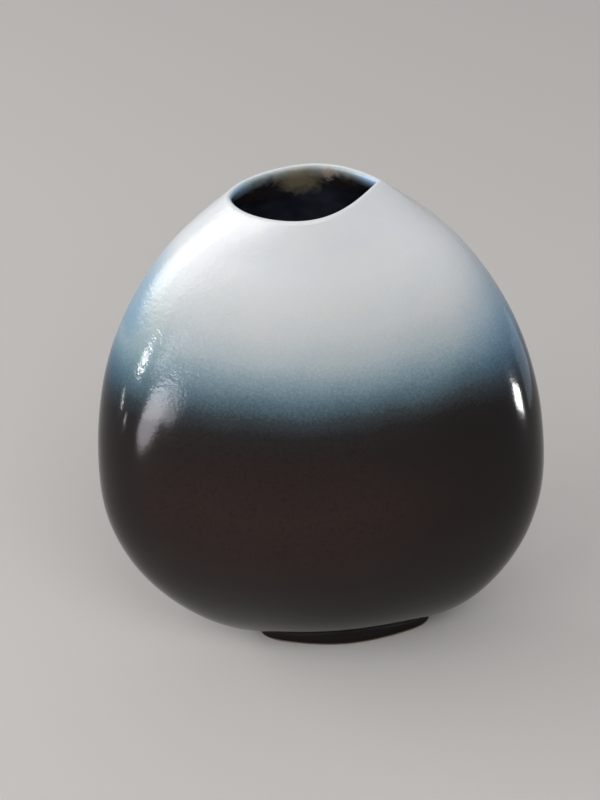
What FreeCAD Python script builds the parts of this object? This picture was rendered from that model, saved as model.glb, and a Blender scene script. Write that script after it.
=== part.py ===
import FreeCAD, Part
import math
import os

# A flattened pillow vase: two pressed clay halves luted together along the side seam,
# a clay foot ring under them, and three glaze coats fired onto the clay.
# Lengths are in millimetres. X runs across, Y from front to back (the front faces -Y), Z up.
# The origin is on the table, under the middle of the belly.

# Body, measured over the glaze: at its widest, where the shoulders end, and at the underside
belly_width = 125.0
belly_depth = 54.8
belly_level = 58.4
shoulder_width = 66.1
shoulder_depth = 38.6
shoulder_end = 12.3
underside_width = 67.2
underside_depth = 16.4

# Clay wall, glaze coat, the flat underside with its rounded rim, and the rounded floor inside
wall = 2.2
glaze = 0.5
floor_thickness = 3.6
floor_round = 4.5
underside_level = 4.6
underside_round = 3.4

# Mouth, measured over the glaze: a lens that reaches forward and back from the line through its corners.
# The lip thins to a round edge, dips at the front, and tilts: its right corner is the highest point.
lip_level = 148.8
lip_width = 41.3
lip_front = 16.6
lip_back = 13.8
lip_round = 1.0
lip_dip = 0.7
lip_tilt = 0.5

# Foot ring, measured over the glaze on its outer wall
foot_width = 51.0
foot_depth = 19.6
foot_wall = 4.4
foot_waist = 0.5
foot_flare = 1.1
foot_round = 0.6
waist_level = 2.4
flare_level = 8.0
bare_edge = 0.9

# Lean of the hand-built body: how far foot and mouth sit to the right of the belly's middle
foot_lean = 3.0
mouth_lean = 0.9

# Glaze fields: the level where dark meets pale outside, and how deep the pale one runs inside
glaze_line = 98.0
pale_inside = 6.0

# One overrun for every cut
overrun = 6.0

# Points on each ring, and the section heights and turns between the driving sizes, as shares
ring_points = 24
start_share = 0.25
rim_shares = (0.0, 0.35, 0.7)
drop_shares = (0.88, 0.66, 0.34, 0.0)
rise_shares = (0.3, 0.58, 0.82, 1.0)
lip_shares = (0.3, 0.5, 0.7, 0.9, 1.1)

# Form of the sections: how far the belly slims down beside its middle and fills out at its edges,
# how sharp the mouth's corners are, and how much sharper the right one is at the lip's inner edge
slim_share = -0.33
blunt_share = 0.37
left_corner_share = 0.17
right_corner_share = 0.92
inner_corner_share = 0.1

# Depths of the five skins under the glazed surface
clay_face = glaze
mid_wall = glaze + wall / 2
clay_back = glaze + wall
liner_face = clay_back + glaze

shoulder_level = lip_level - shoulder_end
crest_level = lip_level - lip_tilt - lip_round
reach = belly_width + belly_depth


def lean(height):
    """Sideways place of a section's middle: zero at the belly, more towards foot and mouth."""
    if height < belly_level:
        return foot_lean * (1 - height / belly_level) ** 2
    return mouth_lean * ((height - belly_level) / (lip_level - belly_level)) ** 2


def half_size(height, widest, above, below, inset):
    """Half width or half depth at a height: a quarter of an ellipse above the belly and one below.

    Each quarter passes through the belly's size and through the size above or below, and the
    skin at a depth under the glaze has both semi-axes shorter by that depth.
    """
    run, size = shoulder_level - belly_level, above
    if height < belly_level:
        run, size = belly_level - underside_level, below
    semi_axis = run / math.sqrt(1 - (size / widest) ** 2)
    away = (height - belly_level) / (semi_axis - inset)
    return (widest / 2 - inset) * math.sqrt(1 - away ** 2)


def ring(points):
    """Closed smooth curve through points that lie at even turns."""
    turns = [2 * math.pi * step / len(points) for step in range(len(points) + 1)]
    curve = Part.BSplineCurve()
    curve.interpolate(Points=points, PeriodicFlag=True, Parameters=turns)
    return Part.Wire([curve.toShape()])


def ring_turns():
    """Angles of the points of a ring, which starts at the middle of the front; 0 points along +X."""
    return [2 * math.pi * (step / ring_points - start_share) for step in range(ring_points)]


def oval(half_width, half_depth, middle, height):
    """Level ring of the body: x = a cos t and y = b sin t (1 + slim cos^2 t + blunt cos^4 t)."""
    points = []
    for turn in ring_turns():
        across, along = math.cos(turn), math.sin(turn)
        fullness = 1 + slim_share * across ** 2 + blunt_share * across ** 4
        points.append(FreeCAD.Vector(middle + half_width * across, half_depth * along * fullness, height))
    return ring(points)


def lens(offset, lift, dip, tilt):
    """Ring of the mouth: x = a cos t and y = b sin t |sin t|^k, where k grows from left to right.

    The offset moves it out from the middle of the lip's round edge, and the lift moves it up. It
    tilts by the tilt to both corners, and lies lower by the dip at the middle of the front.
    """
    points = []
    for turn in ring_turns():
        across, along = math.cos(turn), math.sin(turn)
        right = (1 + across) / 2
        right_share = right_corner_share - inner_corner_share * offset / lip_round
        power = left_corner_share + (right_share - left_corner_share) * right ** 2 * (3 - 2 * right)
        depth_share = along * abs(along) ** power
        half_depth = lip_front if along < 0 else lip_back
        x = mouth_lean + (lip_width / 2 - lip_round + offset) * across
        y = (half_depth - lip_round + offset) * depth_share
        z = crest_level + lift + tilt * across - dip * min(depth_share, 0) ** 2
        points.append(FreeCAD.Vector(x, y, z))
    return ring(points)


def body_section(height, inset, trim=0):
    """Section of the belly at one height, on the skin at that depth under the glazed surface."""
    half_width = half_size(height, belly_width, shoulder_width, underside_width, inset) - trim
    half_depth = half_size(height, belly_depth, shoulder_depth, underside_depth, inset) - trim
    return oval(half_width, half_depth, lean(height), height)


def body_sections(bottom, rounding, top, inset):
    """Sections from a flat bottom, round its rim and over the belly, up to the top one."""
    sections = []
    for share in rim_shares:
        turn = share * math.pi / 2
        height = bottom + rounding * (1 - math.cos(turn))
        sections.append(body_section(height, inset, rounding * (1 - math.sin(turn))))
    levels = [belly_level - share * (belly_level - bottom) for share in drop_shares]
    levels += [belly_level + share * (top - belly_level) for share in rise_shares]
    return sections + [body_section(level, inset) for level in levels]


def outer_sections(inset):
    """Sections of an outer skin, from the underside to the end of the shoulders."""
    return body_sections(underside_level + inset, underside_round - inset, shoulder_level, inset)


def inner_sections(inset):
    """Sections of an inner skin, from the floor to the end of the shoulders."""
    depth = inset - clay_back
    bottom = underside_level + clay_face + floor_thickness + depth
    return body_sections(bottom, floor_round - depth, shoulder_level, inset)


def lip_sections(inset):
    """Sections over the lip: a half circle from the outer to the inner side, all round the mouth."""
    radius = lip_round - inset
    turns = [share * math.pi for share in lip_shares]
    return [lens(radius * math.cos(turn), radius * math.sin(turn), lip_dip, lip_tilt) for turn in turns]


def vessel(outer_inset, inner_inset):
    """Open hollow form: an outer skin, the rounded lip and an inner skin, closed by two flat faces."""
    outer, lip, inner = outer_sections(outer_inset), lip_sections(outer_inset), inner_sections(inner_inset)
    faces = [Part.Face(outer[0]), Part.Face(inner[0])]
    for sections in (outer + lip[:1], lip, inner + lip[-1:]):
        faces += Part.makeLoft(sections).Faces
    shell = Part.Shell(faces)
    shell.sewShape()
    return Part.Solid(shell)


def hollow(inset):
    """Everything inside an inner skin, up to the lip."""
    return Part.makeLoft(inner_sections(inset) + [lens(0, 0, 0, 0)], True)


def slab(bottom, top):
    """Block that takes in the whole vase between two levels."""
    corner = FreeCAD.Vector(-reach, -reach, bottom)
    return Part.makeBox(2 * reach, 2 * reach, top - bottom, corner)


def foot_section(height, growth, inset):
    """Oval section of the foot, wider or narrower than its base by growth."""
    half_width = foot_width / 2 + growth - inset
    half_depth = foot_depth / 2 + growth - inset
    return oval(half_width, half_depth, foot_lean, height)


def foot_block(inset):
    """Solid foot with a hollow waist, which flares where it runs up into the belly."""
    base = foot_section(0, 0, inset)
    waist = foot_section(waist_level, -foot_waist, inset)
    flare = foot_section(flare_level, foot_flare, inset)
    return Part.makeLoft([base, waist, flare], True)


def foot_ring(clay):
    """Clay ring under the body: rounded standing edge outside, open recess in the middle."""
    block = foot_block(clay_face)
    standing = [edge for edge in block.Edges if edge.BoundBox.ZMax < foot_round / 2]
    block = block.makeFillet(foot_round, standing)
    mouth = foot_section(-overrun, 0, foot_wall)
    recess = Part.Face(mouth).extrude(FreeCAD.Vector(0, 0, overrun + flare_level))
    return block.cut(recess).cut(clay).cut(hollow(mid_wall))


def clay_half(clay, side):
    """One pressed half of the body: the front one for side -1, the back one for side 1."""
    corner = FreeCAD.Vector(-reach, min(0, side * reach), 0)
    return clay.common(Part.makeBox(2 * reach, reach, reach, corner))


def dark_glaze(outer_coat, clay):
    """Dark coat: from just above the foot's standing edge up the outside to the glaze line."""
    skirt = foot_block(0).common(slab(bare_edge, flare_level)).cut(hollow(mid_wall))
    both = outer_coat.common(slab(0, glaze_line)).fuse(skirt)
    return both.cut(clay).cut(foot_block(clay_face))


def write(name, shape):
    """Write one node's solids to its file."""
    Part.Compound(shape.Solids).exportStep("parts/" + name + ".step")
    print(name, len(shape.Solids), "solids", round(shape.Volume), "mm3", shape.isValid())


os.makedirs("parts", exist_ok=True)
clay_body = vessel(clay_face, clay_back)
coats = vessel(0, liner_face).cut(clay_body)
lined = hollow(mid_wall).common(slab(0, lip_level - pale_inside))
outer_coat = coats.cut(lined)
write("front_half", clay_half(clay_body, -1))
write("back_half", clay_half(clay_body, 1))
write("foot_ring", foot_ring(clay_body))
write("pale_glaze", outer_coat.common(slab(glaze_line, reach)))
write("dark_glaze", dark_glaze(outer_coat, clay_body))
write("liner_glaze", coats.common(lined))
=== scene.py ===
import math

import bpy
import numpy as np
from mathutils import Matrix, Vector


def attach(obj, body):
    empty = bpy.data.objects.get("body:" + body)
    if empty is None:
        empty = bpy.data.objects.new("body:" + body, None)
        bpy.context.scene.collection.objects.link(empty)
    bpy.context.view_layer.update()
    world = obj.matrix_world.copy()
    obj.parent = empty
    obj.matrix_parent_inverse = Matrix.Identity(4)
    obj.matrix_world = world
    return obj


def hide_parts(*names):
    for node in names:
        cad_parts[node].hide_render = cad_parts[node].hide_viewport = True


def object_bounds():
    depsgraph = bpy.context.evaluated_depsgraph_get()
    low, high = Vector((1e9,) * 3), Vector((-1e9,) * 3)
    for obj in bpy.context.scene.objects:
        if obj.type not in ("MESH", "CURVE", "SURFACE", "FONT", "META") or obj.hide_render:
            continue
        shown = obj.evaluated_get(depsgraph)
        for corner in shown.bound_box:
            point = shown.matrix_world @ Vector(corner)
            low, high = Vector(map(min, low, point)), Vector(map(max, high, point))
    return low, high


# A small pillow vase of glazed clay: a flattened body on a low oval foot, with a lens-shaped mouth.
# Metres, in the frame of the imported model: X across, Y front to back, Z up, the front faces -Y.
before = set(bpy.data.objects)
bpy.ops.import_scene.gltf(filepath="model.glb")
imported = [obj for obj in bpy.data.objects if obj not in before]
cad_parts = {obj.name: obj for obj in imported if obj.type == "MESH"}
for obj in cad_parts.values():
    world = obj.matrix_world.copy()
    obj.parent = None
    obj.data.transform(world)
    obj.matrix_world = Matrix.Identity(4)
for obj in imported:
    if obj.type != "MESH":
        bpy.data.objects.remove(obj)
cad_low, cad_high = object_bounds()

# Body over the glaze. Each side of the belly is a quarter of an ellipse with these semi-axes, and the
# upper and the lower one pass into each other within the blend's height of the belly level.
BELLY_HALF_WIDTH = (cad_high.x - cad_low.x) / 2
BELLY_HALF_DEPTH = (cad_high.y - cad_low.y) / 2
BELLY_LEVEL = 0.0584
WIDTH_RISE, WIDTH_DROP = 0.0920, 0.0638
DEPTH_RISE, DEPTH_DROP = 0.1100, 0.0564
BELLY_BLEND = 0.020
SECTION_SLIM, SECTION_BLUNT = -0.331, 0.367
FOOT_LEAN, MOUTH_LEAN = 0.0030, 0.0009
WALL, COAT = 0.0022, 0.0005

# Mouth, on the middle of the lip's round edge: its reach to the sides, front and back, how it dips
# at the front and tilts up to the right, and how sharp its two corners are
LIP_ROUND, LIP_TILT, LIP_DIP = 0.0010, 0.0005, 0.0007
CREST_LEVEL = cad_high.z - LIP_TILT - LIP_ROUND
LIP_HALF_WIDTH, LIP_FRONT, LIP_BACK = 0.01965, 0.0156, 0.0128
LEFT_CORNER, RIGHT_CORNER, INNER_CORNER = 0.17, 0.92, 0.10
SHOULDER_DROP, THROAT_DROP = 0.0123, 0.0010
SHOULDER_LEVEL = cad_high.z - SHOULDER_DROP
THROAT_LEVEL = SHOULDER_LEVEL - THROAT_DROP

# Foot ring over the glaze, the fillet of pooled glaze where it runs into the body, and the inside's floor
FOOT_HALF_WIDTH, FOOT_HALF_DEPTH = 0.0255, 0.0098
FOOT_WALL, FOOT_WAIST, WAIST_LEVEL = 0.0044, 0.0005, 0.0024
FOOT_ROUND, BARE_EDGE = 0.0006, 0.0009
FILLET_BOTTOM, FILLET_TOP = 0.0032, 0.0060
UNDERSIDE_LEVEL, FLOOR_LEVEL, BOWL_LEVEL = 0.0051, 0.0092, 0.0150
FLOOR_CENTRE = np.array([FOOT_LEAN, 0, FLOOR_LEVEL])

# How far each joining curve keeps its direction at its ends: at the fillet, the lip, the throat and
# the bowl. Then, as shares, the shoulder's own lead, the flat part of the bowl, and its last ring.
FILLET_LEAD, LIP_LEAD, THROAT_LEAD, BOWL_LEAD = 0.0012, 0.0020, 0.0040, 0.0030
SHOULDER_LEAD_SHARE, BOWL_SHARE, POLE_SHARE = 1 / 3, 0.45, 0.02
SMALL_STEP, TINY = 0.0002, 1e-12
UP = np.array([0, 0, 1.0])

# Unevenness of the pressed form: its size, the heights over which it starts above the foot and ends
# below the shoulder, and its waves, each with a share and two rows of radians per metre and a start
UNEVEN = 0.00009
CALM_FOOT, CALM_SHOULDER = 0.012, 0.010
UNEVEN_WAVES = ((1.0, (95, 0, 40), 1.1, (-30, 60, 70), 0.4),
                (0.6, (60, 0, 150), 2.3, (120, 90, -45), 0.0))

# Glaze fields: where the outer coats meet, how deep the pale one runs inside, and where its colour
# gives way to the dark inside the lip
GLAZE_LINE = 0.098
PALE_INSIDE = 0.006
TURN_IN = (0.0003, 0.0009)

# Rows of the grid, upwards outside and downwards inside, and how many rows a coat's back skips
COLUMNS = 480
FOOT_ROWS, FILLET_ROWS, BODY_ROWS, SHOULDER_ROWS, LIP_ROWS = 8, 14, 166, 20, 26
THROAT_ROWS, INSIDE_ROWS, BOWL_ROWS = 20, 112, 16
BACK_STEP = 4

# Rows where foot and body meet in the fillet and about where the lip is highest, then the rows of the
# clay pieces: the halves' underside, outer and inner wall, and the foot's rounded and flat base
SEAT_ROW = FOOT_ROWS + FILLET_ROWS // 2
CREST_ROW = FOOT_ROWS + FILLET_ROWS + BODY_ROWS + SHOULDER_ROWS + LIP_ROWS // 2
DISC_SHARES = np.linspace(0.1, 0.9, 6)
WALL_ROWS_UP, WALL_ROWS_DOWN = 64, 70
ROUND_ROWS, BASE_ROWS = 5, 7


def smooth(share):
    """0 to 1 with a level start and end: s^2 (3 - 2 s)."""
    return share * share * (3 - 2 * share)


def lean(z):
    """Sideways place of a section: the lean times the square of the share of the way from the belly."""
    down = np.clip(1 - z / BELLY_LEVEL, 0, None)
    up = np.clip((z - BELLY_LEVEL) / (cad_high.z - BELLY_LEVEL), 0, None)
    return FOOT_LEAN * down ** 2 + MOUTH_LEAN * up ** 2


def half_size(z, widest, rise, drop, inset):
    """Ellipse widest * sqrt(1 - away^2), away from the belly level over the semi-axis.

    The inverse square of the semi-axis passes smoothly from the drop's to the rise's.
    """
    share = smooth(np.clip(0.5 + (z - BELLY_LEVEL) / (2 * BELLY_BLEND), 0, 1))
    inverse = (1 - share) / (drop - inset) ** 2 + share / (rise - inset) ** 2
    return (widest - inset) * np.sqrt(np.clip(1 - (z - BELLY_LEVEL) ** 2 * inverse, 0, 1))


def turn():
    """Angles of the columns: 0 points along +X, and a quarter turn on to the back."""
    return np.linspace(0, 2 * math.pi, COLUMNS, endpoint=False)


def section(half_width, half_depth, middle, z):
    """Rows of closed sections: x = a cos t, y = b sin t (1 + slim cos^2 t + blunt cos^4 t)."""
    t = turn()
    cos2 = np.cos(t) ** 2
    depth = np.sin(t) * (1 + SECTION_SLIM * cos2 + SECTION_BLUNT * cos2 ** 2)
    x = np.multiply.outer(half_width, np.cos(t)) + np.asarray(middle)[:, None]
    y = np.multiply.outer(half_depth, depth)
    return np.stack([x, y, np.broadcast_to(np.asarray(z)[:, None], x.shape)], -1)


def body_rows(z, inset):
    """Sections of the body at the heights z, on the skin at that depth under the glazed surface."""
    half_width = half_size(z, BELLY_HALF_WIDTH, WIDTH_RISE, WIDTH_DROP, inset)
    half_depth = half_size(z, BELLY_HALF_DEPTH, DEPTH_RISE, DEPTH_DROP, inset)
    return section(half_width, half_depth, lean(z), z)


def foot_rows(z):
    """Sections of the foot: its base oval, drawn in to the waist by a parabola in z."""
    growth = FOOT_WAIST * (((z - WAIST_LEVEL) / WAIST_LEVEL) ** 2 - 1)
    return section(FOOT_HALF_WIDTH + growth, FOOT_HALF_DEPTH + growth, np.full_like(z, FOOT_LEAN), z)


def lens(offset):
    """Ring round the mouth: x = a cos t, y = b sin t |sin t|^k, where k passes from left to right.

    The offset moves it out from the middle of the lip's round edge. The height is that of the crest's
    middle plus tilt * cos t, less the dip times the square of the share of the way to the front.
    """
    t = turn()
    right_corner = RIGHT_CORNER - INNER_CORNER * offset / LIP_ROUND
    power = LEFT_CORNER + (right_corner - LEFT_CORNER) * smooth(0.5 + 0.5 * np.cos(t))
    depth_share = np.sin(t) * np.abs(np.sin(t)) ** power
    x = MOUTH_LEAN + (LIP_HALF_WIDTH + offset) * np.cos(t)
    y = (np.where(depth_share < 0, LIP_FRONT, LIP_BACK) + offset) * depth_share
    z = CREST_LEVEL + LIP_TILT * np.cos(t) - LIP_DIP * np.minimum(depth_share, 0) ** 2
    return np.stack([x, y, z], -1)


def bezier(start, leave, arrive, end, count):
    """Cubic curves between two rows of points, with count rows after the start."""
    t = np.linspace(0, 1, count + 1)[1:, None, None]
    return ((1 - t) ** 3 * start + 3 * (1 - t) ** 2 * t * leave
            + 3 * (1 - t) * t ** 2 * arrive + t ** 3 * end)


def climb(level):
    """Change of place of the body's points per metre of height, from a level on."""
    low, high = body_rows(np.array([level, level + SMALL_STEP]), 0)
    return (high - low) / SMALL_STEP


def unit(rows):
    """Rows of steps, each over its own length."""
    return rows / np.linalg.norm(rows, axis=1)[:, None]


def per_height(step):
    """A step between two rows, per metre of height."""
    return step / step[:, 2:]


def lip_rows(start):
    """Arcs over the lip: middle + half cos a + radius up sin a, where a begins facing the start row.

    Returns the rows, and the direction in which the first of them sets out.
    """
    outer, inner = lens(LIP_ROUND), lens(-LIP_ROUND)
    middle, half = (outer + inner) / 2, (outer - inner) / 2
    gap = np.linalg.norm(start[:, :2] - outer[:, :2], axis=1)
    slope = np.arctan2(gap, middle[:, 2] - SHOULDER_LEVEL)
    angle = (slope + (math.pi - slope) * np.linspace(0, 1, LIP_ROWS)[:, None])[..., None]
    rows = middle + half * np.cos(angle) + LIP_ROUND * UP * np.sin(angle)
    way = LIP_ROUND * UP * np.cos(slope)[:, None] - half * np.sin(slope)[:, None]
    return rows, unit(way)


def outside_rows():
    """Foot, fillet, body, shoulder and lip in turn, each from where the last ends.

    Fillet and shoulder are cubic curves that leave one part and reach the next in its own direction.
    """
    foot = foot_rows(np.linspace(BARE_EDGE, FILLET_BOTTOM, FOOT_ROWS))
    body = body_rows(np.linspace(FILLET_TOP, SHOULDER_LEVEL, BODY_ROWS), 0)
    fillet = bezier(foot[-1], foot[-1] + UP * FILLET_LEAD,
                    body[0] - climb(FILLET_TOP) * FILLET_LEAD, body[0], FILLET_ROWS)
    lip, lip_way = lip_rows(body[-1])
    lead = np.linalg.norm(lip[0] - body[-1], axis=1)[:, None] * SHOULDER_LEAD_SHARE
    body_way = unit(climb(SHOULDER_LEVEL - SMALL_STEP))
    shoulder = bezier(body[-1], body[-1] + body_way * lead, lip[0] - lip_way * lead, lip[0], SHOULDER_ROWS)
    return [foot, fillet, body[1:], shoulder, lip[1:]]


def inside_rows(lip_end):
    """Throat, inner wall and bowl in turn, from the lip's last row down to a small ring on the floor.

    The wall is the body's skin at the depth of the clay and two coats, and cubic curves carry it on
    upwards to the lip and downwards to the floor.
    """
    wall = body_rows(np.linspace(THROAT_LEVEL, BOWL_LEVEL, INSIDE_ROWS), WALL + 2 * COAT)
    throat_way, bowl_way = per_height(wall[0] - wall[1]), per_height(wall[-2] - wall[-1])
    throat = bezier(lip_end, lip_end - UP * LIP_LEAD, wall[0] + throat_way * THROAT_LEAD, wall[0], THROAT_ROWS)
    flat = (wall[-1] - FLOOR_CENTRE) * (1 - UP) * BOWL_SHARE + FLOOR_CENTRE
    last = FLOOR_CENTRE + (flat - FLOOR_CENTRE) * POLE_SHARE
    bowl = bezier(wall[-1], wall[-1] - bowl_way * BOWL_LEAD, flat, last, BOWL_ROWS)
    return [throat, wall[1:], bowl]


def skin():
    """The whole glazed surface as one grid, from the foot's bare edge over the lip to the floor.

    Rows run up the outside, over the lip and down the inside, and columns run round the vase.
    """
    outside = outside_rows()
    return np.concatenate(outside + inside_rows(outside[-1][-1]))


def normals_of(grid):
    """Unit normals of a grid closed around: the cross product of the steps around and up."""
    around = np.roll(grid, -1, 1) - np.roll(grid, 1, 1)
    along = np.gradient(grid, axis=0)
    normal = np.cross(around, along)
    return normal / np.maximum(np.linalg.norm(normal, axis=-1, keepdims=True), TINY)


def hand_pressed(grid):
    """Slight unevenness of a pressed form, along the normal: share * sin(p.a + start) * sin(p.b + start).

    Here p is the place, and a and b are a wave's two rows. It is calm by the foot and by the shoulder.
    """
    height = grid[..., 2]
    calm = np.clip((height - FILLET_TOP) / CALM_FOOT, 0, 1)
    calm = calm * np.clip((SHOULDER_LEVEL - height) / CALM_SHOULDER, 0, 1)
    wave = np.zeros_like(height)
    for share, first, first_start, second, second_start in UNEVEN_WAVES:
        wave += share * np.sin(grid @ first + first_start) * np.sin(grid @ second + second_start)
    return grid + normals_of(grid) * (UNEVEN * wave * calm)[..., None]


def faces_between(rows, wrap_rows):
    """Quads of a grid of rows by columns closed around, and closed the other way if asked."""
    row = np.arange(rows if wrap_rows else rows - 1)[:, None]
    column = np.arange(COLUMNS)[None, :]
    next_row, next_column = (row + 1) % rows, (column + 1) % COLUMNS
    quads = [row * COLUMNS + column, row * COLUMNS + next_column,
             next_row * COLUMNS + next_column, next_row * COLUMNS + column]
    return np.stack(quads, -1).reshape(-1, 4)


def fans(rows):
    """Triangles that close the first row on the point after the grid, and the last row on the next."""
    column = np.arange(COLUMNS)
    after = (column + 1) % COLUMNS
    first = np.stack([after, column, np.full(COLUMNS, rows * COLUMNS)], -1)
    top = (rows - 1) * COLUMNS
    last = np.stack([top + column, top + after, np.full(COLUMNS, rows * COLUMNS + 1)], -1)
    return np.concatenate([first, last])


def build(name, points, quads, material, triangles=None, run=None, crease_rows=()):
    """Smooth-shaded mesh from points and faces, with sharp edges along the crease rows.

    The run inside the mouth becomes an attribute of its points.
    """
    triangles = np.zeros((0, 3), int) if triangles is None else triangles
    mesh = bpy.data.meshes.new(name)
    corners = np.concatenate([quads.reshape(-1), triangles.reshape(-1)]).astype(np.int32)
    sizes = np.concatenate([np.full(len(quads), 4), np.full(len(triangles), 3)])
    mesh.vertices.add(len(points))
    mesh.vertices.foreach_set("co", points.astype(np.float32).reshape(-1))
    mesh.loops.add(len(corners))
    mesh.loops.foreach_set("vertex_index", corners)
    mesh.polygons.add(len(sizes))
    mesh.polygons.foreach_set("loop_start", (np.cumsum(sizes) - sizes).astype(np.int32))
    mesh.polygons.foreach_set("use_smooth", np.ones(len(sizes), bool))
    mesh.update(calc_edges=True)
    mesh.validate()
    if run is not None:
        mesh.attributes.new("run_inside", "FLOAT", "POINT").data.foreach_set("value", run.astype(np.float32))
    if len(crease_rows):
        ends = np.zeros(len(mesh.edges) * 2, np.int32)
        mesh.edges.foreach_get("vertices", ends)
        row = ends.reshape(-1, 2) // COLUMNS
        sharp = (row[:, 0] == row[:, 1]) & np.isin(row[:, 0], crease_rows)
        mesh.attributes.new("sharp_edge", "BOOLEAN", "EDGE").data.foreach_set("value", sharp)
    piece = bpy.data.objects.new(name, mesh)
    bpy.context.scene.collection.objects.link(piece)
    mesh.materials.append(material)
    return piece


def back_rows(first, last):
    """Rows of a coat's back from the last to the first, with some skipped."""
    return np.unique(np.append(np.arange(first, last, BACK_STEP), last))[::-1]


def coat(name, grid, normal, run, first, last, material):
    """A glaze coat as a closed skin: the surface S from first to last row, and its back.

    The back is S less the coat's thickness along the normal, and lies on the clay.
    """
    back = back_rows(first, last)
    points = np.concatenate([grid[first:last + 1], grid[back] - COAT * normal[back]])
    runs = np.concatenate([run[first:last + 1], run[back]])
    creases = [0, last - first, last - first + 1, len(points) - 1]
    return build(name, points.reshape(-1, 3), faces_between(len(points), True), material,
                 run=runs.reshape(-1), crease_rows=creases)


def lining(name, grid, normal, run, first, material):
    """The inside coat: the surface S from a row down to the floor, and its back.

    The back is S less the coat's thickness along the normal. Each closes in a pole on the floor.
    """
    back = back_rows(first, len(grid) - 1)
    rows = np.concatenate([grid[back] - COAT * normal[back], grid[first:]])
    poles = np.array([FLOOR_CENTRE - COAT * UP, FLOOR_CENTRE])
    points = np.concatenate([rows.reshape(-1, 3), poles])
    runs = np.concatenate([run[back].reshape(-1), run[first:].reshape(-1), np.full(len(poles), run.max())])
    return build(name, points, faces_between(len(rows), False), material, triangles=fans(len(rows)),
                 run=runs, crease_rows=[len(back) - 1, len(back)])


def clay_half(name, grid, normal, side, material):
    """One pressed clay half: the wall between the coats, cut flat where the halves meet at y = 0.

    Rows run from the underside's middle out to the foot's fillet, up under the outer coat, over the
    lip and down under the lining to the floor: the surface less the coat's thickness along the normal.
    Each cut face joins row k to the k-th row from the end.
    """
    wall = grid - COAT * normal
    up = np.linspace(SEAT_ROW, CREST_ROW, WALL_ROWS_UP).round().astype(int)
    down = np.linspace(CREST_ROW, len(wall) - 1, WALL_ROWS_DOWN + 1).round().astype(int)[1:]
    low = np.array([FOOT_LEAN, 0, UNDERSIDE_LEVEL])
    disc = low + (wall[SEAT_ROW] - low) * DISC_SHARES[:, None, None]
    half = COLUMNS // 2
    column = (np.arange(half + 1) + (half if side < 0 else 0)) % COLUMNS
    rows = np.concatenate([disc, wall[up], wall[down]])[:, column]
    rows[:, [0, -1], 1] = 0
    height, width = rows.shape[:2]
    index = np.arange(height * width).reshape(height, width)
    shell = np.stack([index[:-1, :-1], index[:-1, 1:], index[1:, 1:], index[1:, :-1]], -1).reshape(-1, 4)
    near, far = np.arange(height // 2 - 1), height - 1 - np.arange(height // 2 - 1)
    low_pole, floor_pole = height * width, height * width + 1
    left = np.stack([index[near, 0], index[near + 1, 0], index[far - 1, 0], index[far, 0]], -1)
    right = np.stack([index[far, -1], index[far - 1, -1], index[near + 1, -1], index[near, -1]], -1)
    ends = np.array([[low_pole, index[0, 0], index[-1, 0], floor_pole],
                     [floor_pole, index[-1, -1], index[0, -1], low_pole]])
    under = np.stack([index[0, 1:], index[0, :-1], np.full(width - 1, low_pole)], -1)
    over = np.stack([index[-1, :-1], index[-1, 1:], np.full(width - 1, floor_pole)], -1)
    points = np.concatenate([rows.reshape(-1, 3), [low], [FLOOR_CENTRE - COAT * UP]])
    return build(name, points, np.concatenate([shell, left, right, ends]), material,
                 triangles=np.concatenate([under, over]))


def foot_offset(inset, z):
    """One section of the foot's base oval, smaller all round by the inset."""
    return section(np.array([FOOT_HALF_WIDTH - inset]), np.array([FOOT_HALF_DEPTH - inset]),
                   np.array([FOOT_LEAN]), np.array([z]))


def foot_clay(name, grid, normal, material):
    """Clay foot ring: up under its coat, in under the body, down the recess and out over the base.

    Both edges of the base are rounded by quarter circles, and the base between them is flat.
    """
    outer = (grid - COAT * normal)[:SEAT_ROW + 1]
    quarter = np.linspace(0, math.pi / 2, ROUND_ROWS)
    inner_edge = [foot_offset(FOOT_WALL - FOOT_ROUND * (1 - math.cos(a)), FOOT_ROUND * (1 - math.sin(a)))
                  for a in quarter]
    outer_edge = [foot_offset(COAT + FOOT_ROUND * (1 - math.sin(a)), FOOT_ROUND * (1 - math.cos(a)))
                  for a in quarter]
    flat = np.linspace(FOOT_WALL - FOOT_ROUND, COAT + FOOT_ROUND, BASE_ROWS)[1:-1]
    base = [foot_offset(inset, 0) for inset in flat]
    roof = [foot_offset(FOOT_WALL, UNDERSIDE_LEVEL + COAT / 2)]
    rows = np.concatenate([outer, *roof, *inner_edge, *base, *outer_edge])
    return build(name, rows.reshape(-1, 3), faces_between(len(rows), True), material, crease_rows=[SEAT_ROW])


def srgb(red, green, blue):
    """Linear colour of an 8-bit one: ((c + 0.055) / 1.055)^2.4, or c / 12.92 where it is very dark."""
    share = np.array([red, green, blue]) / 255
    linear = np.where(share > 0.04045, ((share + 0.055) / 1.055) ** 2.4, share / 12.92)
    return (*linear.tolist(), 1.0)


def plug(tree, socket, value):
    """Link a socket to another one, or set it to a plain value."""
    if isinstance(value, bpy.types.NodeSocket):
        tree.links.new(value, socket)
    else:
        socket.default_value = value


def add(tree, kind, **settings):
    """A node in a tree, with its properties and its input sockets set or linked by name."""
    made = tree.nodes.new(kind)
    for name, value in settings.items():
        if hasattr(made, name):
            setattr(made, name, value)
        else:
            plug(tree, made.inputs[name.replace("_", " ")], value)
    return made


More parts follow.
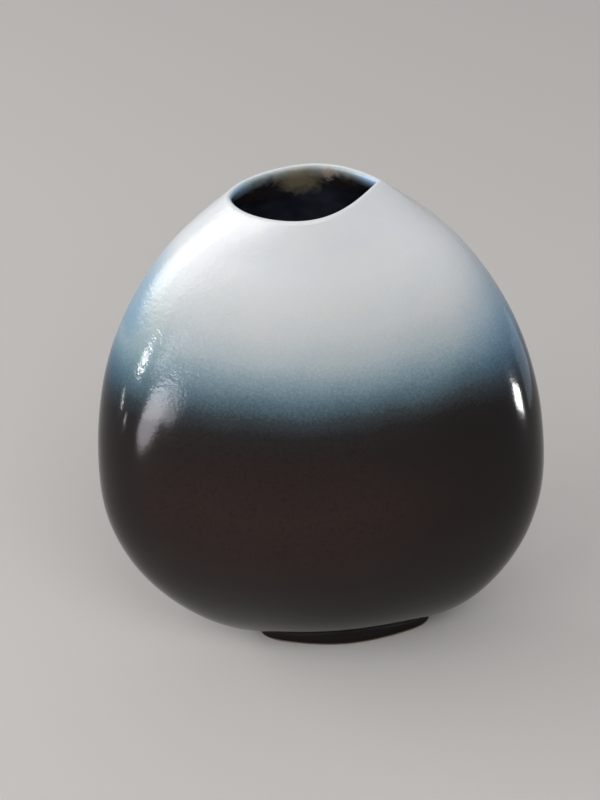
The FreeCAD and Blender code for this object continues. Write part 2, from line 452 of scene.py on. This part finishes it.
def group(name, inputs, outputs):
    """An empty shader node group with its sockets, the input ones by name, and its output node."""
    tree = bpy.data.node_groups.new(name, "ShaderNodeTree")
    kinds = {"value": "NodeSocketFloat", "colour": "NodeSocketColor", "vector": "NodeSocketVector"}
    for label, kind in inputs.items():
        tree.interface.new_socket(label, in_out="INPUT", socket_type=kinds[kind])
    for label, kind in outputs.items():
        tree.interface.new_socket(label, in_out="OUTPUT", socket_type=kinds[kind])
    return tree, tree.nodes.new("NodeGroupInput").outputs, tree.nodes.new("NodeGroupOutput").inputs


def noise(tree, place, scale, detail, roughness):
    """Noise of the place at a scale per metre; its value is about 0.5 on average."""
    made = add(tree, "ShaderNodeTexNoise", Vector=place, Scale=scale, Detail=detail, Roughness=roughness)
    return made.outputs["Fac"]


def computed(tree, operation, first, second=0.0, third=0.0):
    """One math node, where each value is a socket or a number."""
    made = add(tree, "ShaderNodeMath", operation=operation)
    for socket, value in zip(made.inputs, (first, second, third)):
        plug(tree, socket, value)
    return made.outputs[0]


def scaled(tree, value, share, rest=0.0):
    """The value times a share, plus the rest."""
    return computed(tree, "MULTIPLY_ADD", value, share, rest)


def roughened(tree, value, place, settings, reach):
    """The value plus noise of the place, up to half the reach more or less."""
    return computed(tree, "ADD", value, scaled(tree, noise(tree, place, *settings), reach, -reach / 2))


def ranged(tree, value, source, target=(0.0, 1.0), kind="LINEAR"):
    """The value carried from one range to another and held at its ends; either range may run down."""
    made = add(tree, "ShaderNodeMapRange", Value=value, From_Min=source[0], From_Max=source[1],
               To_Min=target[0], To_Max=target[1], interpolation_type=kind)
    return made.outputs["Result"]


def eased(tree, value, source):
    """0 to 1 over a range, with a smooth start and end."""
    return ranged(tree, value, source, kind="SMOOTHSTEP")


def ramp(tree, factor, stops, interpolation="B_SPLINE"):
    """Colour ramp from (place, colour) stops."""
    made = add(tree, "ShaderNodeValToRGB", Fac=factor)
    made.color_ramp.interpolation = interpolation
    elements = made.color_ramp.elements
    while len(elements) < len(stops):
        elements.new(0.5)
    for element, (place, colour) in zip(elements, stops):
        element.position, element.color = place, colour
    return made.outputs["Color"]


def blended(tree, factor, first, second, kind="MIX"):
    """Colour mix, where each colour is a socket or a value."""
    made = add(tree, "ShaderNodeMix", data_type="RGBA", blend_type=kind)
    for index, value in ((0, factor), (6, first), (7, second)):
        plug(tree, made.inputs[index], value)
    return made.outputs[2]


def tinted(tree, factor, colour, tint):
    """The colour times a tint, as far as the factor goes."""
    return blended(tree, factor, colour, tint, "MULTIPLY")


def across_and_level(tree, place):
    """X and Z of the place."""
    split = add(tree, "ShaderNodeSeparateXYZ", Vector=place)
    return split.outputs["X"], split.outputs["Z"]


def placed(tree, part, **sockets):
    """Outputs of a node group set into a material, with its inputs set or linked by name."""
    return add(tree, "ShaderNodeGroup", node_tree=part, **sockets).outputs


def finish_of(name):
    """A new material with its tree, its Principled shader and the Object coordinates."""
    material = bpy.data.materials.new(name)
    material.use_nodes = True
    tree = material.node_tree
    return material, tree, tree.nodes["Principled BSDF"], add(tree, "ShaderNodeTexCoord").outputs["Object"]


def dress(tree, shader, **sockets):
    """Set or link the shader's sockets by name."""
    for name, value in sockets.items():
        plug(tree, shader.inputs[name.replace("_", " ")], value)


# Sprayed fade: 8-bit colours by height; its lowest stops darken towards the foot as painted shade.
# Noise is given as scale per metre, detail and roughness.
FADE_TOP = 0.134
FADE_STOPS = ((0.004, (12, 8, 8)), (0.026, (17, 11, 10)), (0.042, (34, 20, 18)), (0.062, (40, 24, 21)),
              (0.080, (29, 18, 17)), (0.088, (28, 25, 27)), (0.093, (48, 57, 62)), (0.0985, (82, 104, 115)),
              (0.104, (124, 143, 150)), (0.110, (164, 173, 176)), (0.118, (190, 192, 191)),
              (0.125, (200, 201, 199)), (0.132, (206, 206, 205)))
WANDER_NOISE, WANDER_REACH = (32, 2, 0.5), 0.008
GRAIN_NOISE, GRAIN_REACH = (1500, 2, 0.7), 0.007

# Towards the narrow sides, X ranges, the fade is wider about the pivot, less so above it, and it
# reaches higher on the left
LEFT_SIDE, LEFT_SPREAD, LEFT_RISE = (0.000, -0.055), 0.12, 0.0050
RIGHT_SIDE, RIGHT_SPREAD = (0.034, 0.057), 0.35
SIDE_PIVOT, BELOW_PIVOT_SHARE = 0.101, 0.4

# Mottling of it all, thin places in the dark glaze, which starts over a height range, and painted
# shade that darkens the dark glaze towards the right
MOTTLE_NOISE, MOTTLE_STOPS = (90, 3, 0.6), ((0.3, srgb(249, 251, 255)), (0.7, srgb(255, 253, 251)))
THIN_NOISE, THIN_STOPS = (700, 3, 0.7), ((0.35, srgb(188, 180, 180)), (0.7, (1.70, 1.60, 1.55, 1.0)))
DARK_RANGE, GLOSS_RANGE = (0.094, 0.084), (0.112, 0.090)
PAINTED_SHADE_SIDE, PAINTED_SHADE_TINT = (0.000, 0.046), srgb(160, 146, 148)

# Tints of the narrow sides by X, and of the edge of the left shoulder, which leans by the slope:
# painted reflection of blue surroundings at grazing angles
LEFT_TINT_SIDE, LEFT_TINT = (-0.0275, -0.045), srgb(238, 246, 245)
LEFT_BLUE_SIDE, LEFT_PAINTED_REFLECTION = (-0.045, -0.058), srgb(190, 216, 240)
RIGHT_PAINTED_REFLECTION = srgb(202, 225, 246)
EDGE_SLOPE, EDGE_PIVOT, EDGE_SIDE, EDGE_RANGE = 0.5, 0.1195, (-0.0400, -0.0465), (0.108, 0.116)


def sprayed_fade_and_painted_light():
    """Group: the two sprayed glazes, by height, with a slow wander and a fine spray grain.

    Colour runs from dark brown through teal to the pale glaze, and Dark is 1 low down and 0 on top.
    Its darkening towards the foot, and that of the dark glaze towards the right, is painted shade.
    The two narrow sides are bluer, a painted reflection of blue surroundings, and the fade is wider
    there and reaches higher on the left.
    """
    tree, given, out = group("sprayed_fade_and_painted_light", {"Place": "vector"}, {"Colour": "colour", "Dark": "value"})
    place = given["Place"]
    across, level = across_and_level(tree, place)
    left, right = eased(tree, across, LEFT_SIDE), eased(tree, across, RIGHT_SIDE)
    spread = computed(tree, "MAXIMUM", scaled(tree, left, LEFT_SPREAD), scaled(tree, right, RIGHT_SPREAD))
    pull = computed(tree, "MULTIPLY", spread, scaled(tree, level, -1.0, SIDE_PIVOT))
    pull = computed(tree, "MINIMUM", pull, scaled(tree, pull, BELOW_PIVOT_SHARE))
    height = computed(tree, "ADD", level, pull)
    height = computed(tree, "ADD", height, scaled(tree, left, -LEFT_RISE))
    height = roughened(tree, height, place, WANDER_NOISE, WANDER_REACH)
    height = roughened(tree, height, place, GRAIN_NOISE, GRAIN_REACH)
    stops = [(stop / FADE_TOP, srgb(*colour)) for stop, colour in FADE_STOPS]
    colour = ramp(tree, ranged(tree, height, (0.0, FADE_TOP)), stops, "LINEAR")
    colour = tinted(tree, 1.0, colour, ramp(tree, noise(tree, place, *MOTTLE_NOISE), MOTTLE_STOPS))
    dark = eased(tree, height, DARK_RANGE)
    colour = tinted(tree, dark, colour, ramp(tree, noise(tree, place, *THIN_NOISE), THIN_STOPS))
    # Painted shade: the dark glaze gets darker towards the right
    painted_shade = computed(tree, "MULTIPLY", dark, eased(tree, across, PAINTED_SHADE_SIDE))
    colour = tinted(tree, painted_shade, colour, PAINTED_SHADE_TINT)
    # Painted reflection of blue surroundings: a cool tint and a blue on the left side and the left shoulder's
    # edge, and a blue on the right
    colour = tinted(tree, eased(tree, across, LEFT_TINT_SIDE), colour, LEFT_TINT)
    edge = computed(tree, "ADD", across, scaled(tree, level, -EDGE_SLOPE, EDGE_SLOPE * EDGE_PIVOT))
    edge = computed(tree, "MULTIPLY", eased(tree, edge, EDGE_SIDE), eased(tree, level, EDGE_RANGE))
    blue = computed(tree, "MAXIMUM", eased(tree, across, LEFT_BLUE_SIDE), edge)
    colour = tinted(tree, blue, colour, LEFT_PAINTED_REFLECTION)
    plug(tree, out["Colour"], tinted(tree, right, colour, RIGHT_PAINTED_REFLECTION))
    plug(tree, out["Dark"], ranged(tree, height, GLOSS_RANGE))
    return tree


PEEL_FINE, PEEL_BROAD = (1000, 1, 0.5), (260, 1, 0.5)


def orange_peel():
    """Group: the fine dimpled skin of fired glaze as a normal, from two sizes of noise."""
    tree, given, out = group("orange_peel", {"Place": "vector", "Depth": "value"}, {"Normal": "vector"})
    fine, broad = (noise(tree, given["Place"], *settings) for settings in (PEEL_FINE, PEEL_BROAD))
    height = computed(tree, "ADD", fine, broad)
    bump = add(tree, "ShaderNodeBump", Strength=1.0, Distance=given["Depth"], Height=height)
    plug(tree, out["Normal"], bump.outputs["Normal"])
    return tree


SPECK_SHARE, SPECK_EDGE = 0.10, (0.07, 0.03)


def pinholes():
    """Group: a few small specks, round the point of each Voronoi cell whose own colour is low."""
    tree, given, out = group("pinholes", {"Place": "vector", "Spread": "value"}, {"Mask": "value"})
    cells = add(tree, "ShaderNodeTexVoronoi", Vector=given["Place"], Scale=given["Spread"])
    split = add(tree, "ShaderNodeSeparateColor", Color=cells.outputs["Color"])
    rare = computed(tree, "LESS_THAN", split.outputs[0], SPECK_SHARE)
    close = ranged(tree, cells.outputs["Distance"], SPECK_EDGE)
    plug(tree, out["Mask"], computed(tree, "MULTIPLY", rare, close))
    return tree


# Inside of the mouth: its colours, and where each gives way, by the run inside from the lip's crest
LINER_DEEP, LINER_BROWN, LINER_CLOUD = srgb(29, 29, 36), srgb(74, 56, 46), srgb(52, 57, 67)
LINER_SMOKE, LINER_BLUE = srgb(146, 154, 154), srgb(144, 170, 192)
RUN_NOISE, RUN_REACH = (260, 3, 0.6), 0.006
CLOUD_NOISE = (110, 2, 0.6)
BROWN_STOPS = ((0.40, LINER_BROWN), (0.62, LINER_DEEP))
CLOUD_STOPS = ((0.44, LINER_DEEP), (0.66, LINER_CLOUD))
SMOKE_RUN, BROWN_RUN = (0.0012, 0.0048), (0.004, 0.012)
CORNER_SIDE, CORNER_RUN = (0.0125, 0.0165), (0.0070, 0.0035)

# Patches: colour, place and reach, and how much of the olive one shows
OLIVE_PATCH, OLIVE_PLACE, OLIVE_REACH, OLIVE_SHARE = srgb(160, 146, 118), (0.0004, 0.0130, 0.1440), 0.0076, 0.7
PINK_PATCH, PINK_PLACE, PINK_REACH = srgb(174, 156, 142), (0.0080, 0.0118, 0.1468), 0.0028
PATCH_NOISE, PATCH_RAGGED, PATCH_CORE_SHARE = (330, 3, 0.65), 0.009, 0.3


def patch(tree, place, centre, reach):
    """1 at a centre, falling to 0 at about its reach, with a ragged edge."""
    away = add(tree, "ShaderNodeVectorMath", operation="DISTANCE")
    plug(tree, away.inputs[0], place)
    plug(tree, away.inputs[1], centre)
    distance = roughened(tree, away.outputs["Value"], place, PATCH_NOISE, PATCH_RAGGED)
    return ranged(tree, distance, (reach, reach * PATCH_CORE_SHARE))


def inner_fade():
    """Group: colour by the run inside the mouth, grey overspray under the lip, then near black.

    The corners of the mouth are blue. An olive and a pinkish patch at the back lighten the dark glaze.
    """
    tree, given, out = group("inner_fade", {"Place": "vector", "Run": "value"}, {"Colour": "colour"})
    place = given["Place"]
    run = roughened(tree, given["Run"], place, RUN_NOISE, RUN_REACH)
    across, _ = across_and_level(tree, place)
    off_middle = computed(tree, "ABSOLUTE", computed(tree, "SUBTRACT", across, MOUTH_LEAN))
    corner = computed(tree, "MULTIPLY", ranged(tree, off_middle, CORNER_SIDE), ranged(tree, run, CORNER_RUN))
    cloudy = noise(tree, place, *CLOUD_NOISE)
    deep = blended(tree, ranged(tree, run, BROWN_RUN),
                   ramp(tree, cloudy, BROWN_STOPS), ramp(tree, cloudy, CLOUD_STOPS))
    colour = blended(tree, ranged(tree, run, SMOKE_RUN), LINER_SMOKE, deep)
    olive = scaled(tree, patch(tree, place, OLIVE_PLACE, OLIVE_REACH), OLIVE_SHARE)
    colour = blended(tree, olive, colour, OLIVE_PATCH)
    colour = blended(tree, patch(tree, place, PINK_PLACE, PINK_REACH), colour, PINK_PATCH)
    plug(tree, out["Colour"], blended(tree, corner, colour, LINER_BLUE))
    return tree


# Finish of the coats: their shine, their roughness and dimples from the pale glaze to the dark one,
# the pinholes, and the lining's own roughness, which follows a noise, and dimples
GLAZE_SHINE = 0.25
GLAZE_ROUGHNESS, PEEL_PALE, PEEL_DARK = (0.18, 0.11), 0.000080, 0.000008
PINHOLE_SPREAD, PINHOLE_SHARE, PINHOLE_COLOUR = 190.0, 0.5, srgb(70, 64, 60)
LINER_ROUGHNESS, LINER_ROUGH_NOISE, LINER_PEEL = (0.14, 0.26), (300, 2, 0.5), 0.000020

# Bare clay: its colour, iron specks and gritty skin
CLAY_NOISE, CLAY_STOPS = (420, 4, 0.6), ((0.3, srgb(70, 50, 38)), (0.7, srgb(116, 88, 68)))
IRON_SPREAD, IRON_COLOUR = 900.0, srgb(40, 28, 22)
CLAY_ROUGHNESS, GRIT_NOISE, GRIT_STRENGTH, GRIT_DEPTH = (0.72, 0.92), (2600, 3, 0.7), 0.8, 0.00008


def run_inside(tree):
    """The points' run inside the mouth from the lip's crest, in metres."""
    return add(tree, "ShaderNodeAttribute", attribute_name="run_inside").outputs["Fac"]


def fired_glaze(inner, peel, specks):
    """The outer coats: the sprayed fade, dark inside the mouth, satin where pale and glossy where dark."""
    material, tree, shader, place = finish_of("fired_glaze")
    fade = placed(tree, sprayed_fade_and_painted_light(), Place=place)
    run = run_inside(tree)
    turned_in = ranged(tree, run, TURN_IN)
    colour = blended(tree, turned_in, fade["Colour"], placed(tree, inner, Place=place, Run=run)["Colour"])
    mask = placed(tree, specks, Place=place, Spread=PINHOLE_SPREAD)["Mask"]
    gloss = computed(tree, "MAXIMUM", fade["Dark"], turned_in)
    depth = scaled(tree, gloss, PEEL_DARK - PEEL_PALE, PEEL_PALE)
    dress(tree, shader, Base_Color=blended(tree, scaled(tree, mask, PINHOLE_SHARE), colour, PINHOLE_COLOUR),
          Roughness=ranged(tree, gloss, (0.0, 1.0), GLAZE_ROUGHNESS), Specular_IOR_Level=GLAZE_SHINE,
          Normal=placed(tree, peel, Place=place, Depth=depth)["Normal"])
    return material


def liner_glaze(inner, peel):
    """The inside coat: near-black gloss with brown mottling and a smoky rim under the pale glaze."""
    material, tree, shader, place = finish_of("liner_glaze")
    rough = ranged(tree, noise(tree, place, *LINER_ROUGH_NOISE), (0.0, 1.0), LINER_ROUGHNESS)
    dress(tree, shader, Base_Color=placed(tree, inner, Place=place, Run=run_inside(tree))["Colour"],
          Roughness=rough, Specular_IOR_Level=GLAZE_SHINE,
          Normal=placed(tree, peel, Place=place, Depth=LINER_PEEL)["Normal"])
    return material


def bare_stoneware(specks):
    """Unglazed clay: brown body with paler grog, dark iron specks and a gritty skin."""
    material, tree, shader, place = finish_of("bare_stoneware")
    body = ramp(tree, noise(tree, place, *CLAY_NOISE), CLAY_STOPS)
    mask = placed(tree, specks, Place=place, Spread=IRON_SPREAD)["Mask"]
    grit = noise(tree, place, *GRIT_NOISE)
    bump = add(tree, "ShaderNodeBump", Strength=GRIT_STRENGTH, Distance=GRIT_DEPTH, Height=grit)
    dress(tree, shader, Base_Color=blended(tree, mask, body, IRON_COLOUR),
          Roughness=ranged(tree, grit, (0.0, 1.0), CLAY_ROUGHNESS), Normal=bump.outputs["Normal"])
    return material


def make_vase():
    """The six pieces, each with its node and its slot: three glaze coats, two clay halves and the foot."""
    grid = hand_pressed(skin())
    normal = normals_of(grid)
    steps = np.linalg.norm(np.diff(grid, axis=0), axis=-1)
    run = np.concatenate([np.zeros((1, COLUMNS)), np.cumsum(steps, 0)])
    run -= np.take_along_axis(run, grid[..., 2].argmax(0)[None], 0)
    line = int(np.argmin(np.abs(grid[:CREST_ROW, 0, 2] - GLAZE_LINE)))
    tuck = CREST_ROW + int(np.argmax(run[CREST_ROW:].mean(1) > PALE_INSIDE))
    inner, peel, specks = inner_fade(), orange_peel(), pinholes()
    glaze, liner, clay = fired_glaze(inner, peel, specks), liner_glaze(inner, peel), bare_stoneware(specks)
    return [
        (coat("pale_glaze_coat", grid, normal, run, line, tuck, glaze), "pale_glaze", "pale_glaze"),
        (coat("dark_glaze_coat", grid, normal, run, 0, line, glaze), "dark_glaze", "dark_glaze"),
        (lining("lining_coat", grid, normal, run, tuck, liner), "liner_glaze", "liner_glaze"),
        (clay_half("front_clay", grid, normal, -1, clay), "front_half", "clay"),
        (clay_half("back_clay", grid, normal, 1, clay), "back_half", "clay"),
        (foot_clay("foot_clay", grid, normal, clay), "foot_ring", "clay"),
    ]


# Camera: fitted to the vase's outline, mouth and foot in the 600 by 800 picture
PICTURE_HEIGHT, FOCAL_PIXELS, SENSOR, CLIP_START = 800, 2000, 36.0, 0.01
CAMERA_ELEVATION, CAMERA_ROLL = math.radians(35), math.radians(4.93)
CAMERA_DISTANCE = 0.54906
CAMERA_TARGET = Vector((-0.00464, 0, 0.08258))


def make_camera():
    """Camera that looks along +Y and down on the front, rolled so that the vase leans to the left.

    Its lens is the sensor's width times the focal length in pixels over the picture's longer side.
    """
    data = bpy.data.cameras.new("camera")
    data.sensor_width = SENSOR
    data.lens = SENSOR * FOCAL_PIXELS / PICTURE_HEIGHT
    data.clip_start = CLIP_START
    camera = bpy.data.objects.new("camera", data)
    bpy.context.scene.collection.objects.link(camera)
    ahead = Vector((0, math.cos(CAMERA_ELEVATION), -math.sin(CAMERA_ELEVATION)))
    turned = Matrix.Rotation(math.pi / 2 - CAMERA_ELEVATION, 4, "X") @ Matrix.Rotation(-CAMERA_ROLL, 4, "Z")
    camera.matrix_world = Matrix.Translation(CAMERA_TARGET - ahead * CAMERA_DISTANCE) @ turned
    bpy.context.scene.camera = camera


FLOOR_SIDE, FLOOR_COLOUR, FLOOR_ROUGHNESS = 4.0, srgb(184, 179, 174), 0.9


def make_floor():
    """Plain pale matt floor that the vase stands on."""
    mesh = bpy.data.meshes.new("floor")
    corners = [(x * FLOOR_SIDE, y * FLOOR_SIDE, 0) for x, y in ((-1, -1), (1, -1), (1, 1), (-1, 1))]
    mesh.from_pydata(corners, [], [(0, 1, 2, 3)])
    floor = bpy.data.objects.new("floor", mesh)
    bpy.context.scene.collection.objects.link(floor)
    material, tree, shader, _ = finish_of("floor")
    dress(tree, shader, Base_Color=FLOOR_COLOUR, Roughness=FLOOR_ROUGHNESS, Specular_IOR_Level=0.0)
    mesh.materials.append(material)


# Lamps that light the vase: name, place, direction across, size and glow. They aim at its middle.
MIDDLE = Vector((0, 0, 0.09))
WHITE, COOL, LILAC, SKY = (1, 1, 1), (0.94, 0.97, 1.0), (0.96, 0.94, 1.0), (0.60, 0.80, 1.0)
SOFT_LIGHTS = (("key", (-0.70, -0.58, 1.01), (0, 1, 0), (0.80, 0.80), 2.7),
               ("fill", (0.26, -0.81, 0.94), (1, 0, 0), (0.70, 0.70), 4.2),
               ("left_light", (-1.08, 0.29, 0.52), (0, 1, 0), (0.90, 0.60), 5.2))
WORLD_COLOUR, WORLD_STRENGTH = (0.94, 0.96, 1.0, 1), 0.50

# Panels that only show in reflections: the window by its panes' near edges and glows, the streaks, the
# band along the right edge, and the low ones by the floor that make the lilac patch
WINDOW_X, WINDOW_FAR_EDGE, WINDOW_LEVEL, WINDOW_HEIGHT = -1.20, 0.50, 0.77, 1.14
WINDOW_PANES = (("window", -0.78, 5.0), ("window_side", -1.15, 2.4), ("window_faint", -1.90, 1.2))
STREAKS = (("right_strip", (0.200, -0.040, 0.017), (0, -1, 0.15), (0.027, 0.018), 52, "RECTANGLE"),
           ("left_strip", (-0.200, -0.090, 0.083), (0, 1, 0), (0.015, 0.024), 75, "ELLIPSE"),
           ("left_faint", (-0.200, -0.155, 0.075), (0, 1, 0), (0.030, 0.020), 13, "ELLIPSE"),
           ("left_thin", (-0.200, -0.037, 0.048), (0, 1, -0.10), (0.003, 0.017), 36, "RECTANGLE"),
           ("left_low_thin", (-0.200, -0.058, 0.027), (0, 1, 0.4), (0.004, 0.006), 24, "RECTANGLE"))
BAND_PLACE, BAND_SIZE, BAND_GLOW = (0.200, 0.062, 0.037), (0.110, 0.062), 1.2
LOW_ALONG = (0.616, 0.787, 0)
LOW_PANELS = (("low_panel", (-0.255, -0.210, 0.003), (0.160, 0.050), 16, "RECTANGLE"),
              ("low_panel_near", (-0.209, -0.144, 0.003), (0.110, 0.044), 9, "ELLIPSE"),
              ("low_panel_faint", (-0.222, -0.218, 0.003), (0.160, 0.026), 7, "ELLIPSE"))


def softbox(name, place, aim, across, size, glow, colour, shape="RECTANGLE", mirrored=True):
    """Area light at a place that shines along aim, with its width along across.

    The glow is how bright its face looks, where 1 is white, and its power is glow times pi times area.
    A mirrored one shows in reflections only and adds no light to the object.
    """
    data = bpy.data.lights.new(name, "AREA")
    data.shape, data.size, data.size_y = shape, *size
    data.color = colour
    area = size[0] * size[1] * (math.pi / 4 if shape == "ELLIPSE" else 1)
    data.energy = glow * math.pi * area
    lamp = bpy.data.objects.new(name, data)
    bpy.context.scene.collection.objects.link(lamp)
    back = -Vector(aim).normalized()
    side = (Vector(across) - Vector(across).dot(back) * back).normalized()
    turned = Matrix((side, back.cross(side), back)).transposed().to_4x4()
    lamp.matrix_world = Matrix.Translation(place) @ turned
    lamp.visible_camera = False
    lamp.visible_diffuse = not mirrored


def make_light():
    """Three soft panels that light the vase, panels that only show in reflections, and the world."""
    for name, place, across, size, glow in SOFT_LIGHTS:
        softbox(name, place, MIDDLE - Vector(place), across, size, glow, COOL, mirrored=False)
    for name, near_edge, glow in WINDOW_PANES:
        place = (WINDOW_X, (near_edge + WINDOW_FAR_EDGE) / 2, WINDOW_LEVEL)
        softbox(name, place, (1, 0, 0), (0, 1, 0), (WINDOW_FAR_EDGE - near_edge, WINDOW_HEIGHT), glow, WHITE)
    for name, place, across, size, glow, shape in STREAKS:
        softbox(name, place, MIDDLE - Vector(place), across, size, glow, WHITE, shape)
    softbox("right_band", BAND_PLACE, (-1, 0, 0), (0, 1, 0), BAND_SIZE, BAND_GLOW, SKY)
    for name, place, size, glow, shape in LOW_PANELS:
        softbox(name, place, (0, 0, 1), LOW_ALONG, size, glow, LILAC, shape)
    world = bpy.data.worlds.new("world")
    bpy.context.scene.world = world
    world.use_nodes = True
    background = world.node_tree.nodes["Background"]
    background.inputs["Color"].default_value = WORLD_COLOUR
    background.inputs["Strength"].default_value = WORLD_STRENGTH


make_camera()
for piece, node_name, slot_name in make_vase():
    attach(piece, "root")
    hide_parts(node_name)
make_floor()
make_light()
bpy.context.scene.view_settings.view_transform = "Standard"
